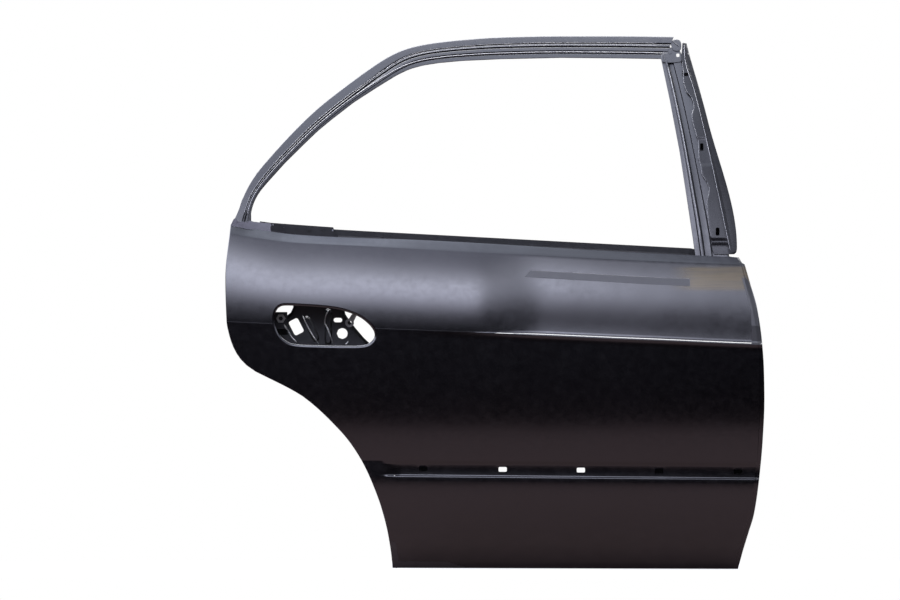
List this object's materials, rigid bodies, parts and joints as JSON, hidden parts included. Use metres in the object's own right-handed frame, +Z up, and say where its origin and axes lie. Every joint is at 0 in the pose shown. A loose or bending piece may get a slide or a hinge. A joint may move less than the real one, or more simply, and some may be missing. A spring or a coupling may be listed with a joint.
{
  "type": "car door shell",
  "caption": "Bare pressed-steel rear door of a saloon car: skin, inner panel, window frame, beam and reinforcements, in black primer.",
  "frame": {"origin": "outside of the front wall at the middle of the upper hinge's seat", "axes": "+X to the front of the car, -Y outboard, +Z up"},
  "size_m": [1.0778, 0.2379, 1.068],
  "materials": {
    "black_primer": "satin black electro-dip primer on pressed steel",
    "frame_primer": "satin black primer, greyer where it faces up",
    "zinc_steel": "zinc-plated weld nuts and strap",
    "mastic": "soft anti-flutter mastic"
  },
  "bodies": {
    "root": {"outer_skin": "black_primer", "inner_panel": "black_primer", "upper_frame": "frame_primer", "upper_frame_inner": "frame_primer", "front_sash": "frame_primer", "front_sash_inner": "frame_primer", "pillar_bracket": "frame_primer", "corner_cap": "frame_primer", "corner_gusset": "frame_primer", "front_sash_bracket": "black_primer", "rear_belt_bracket": "black_primer", "belt_outer_reinforcement": "black_primer", "belt_inner_reinforcement": "black_primer", "impact_beam": "black_primer", "beam_rear_bracket": "black_primer", "beam_front_bracket": "black_primer", "anti_flutter_pad_1": "mastic", "anti_flutter_pad_2": "mastic", "anti_flutter_pad_3": "mastic", "upper_hinge_reinforcement": "black_primer", "lower_hinge_reinforcement": "black_primer", "upper_hinge_nut_1": "zinc_steel", "upper_hinge_nut_2": "zinc_steel", "lower_hinge_nut_1": "zinc_steel", "lower_hinge_nut_2": "zinc_steel", "door_check_reinforcement": "black_primer", "check_nut_1": "zinc_steel", "check_nut_2": "zinc_steel", "latch_reinforcement": "black_primer", "handle_boss_bracket": "black_primer", "handle_weld_nut": "zinc_steel", "handle_strap": "zinc_steel"}
  },
  "joints": []
}
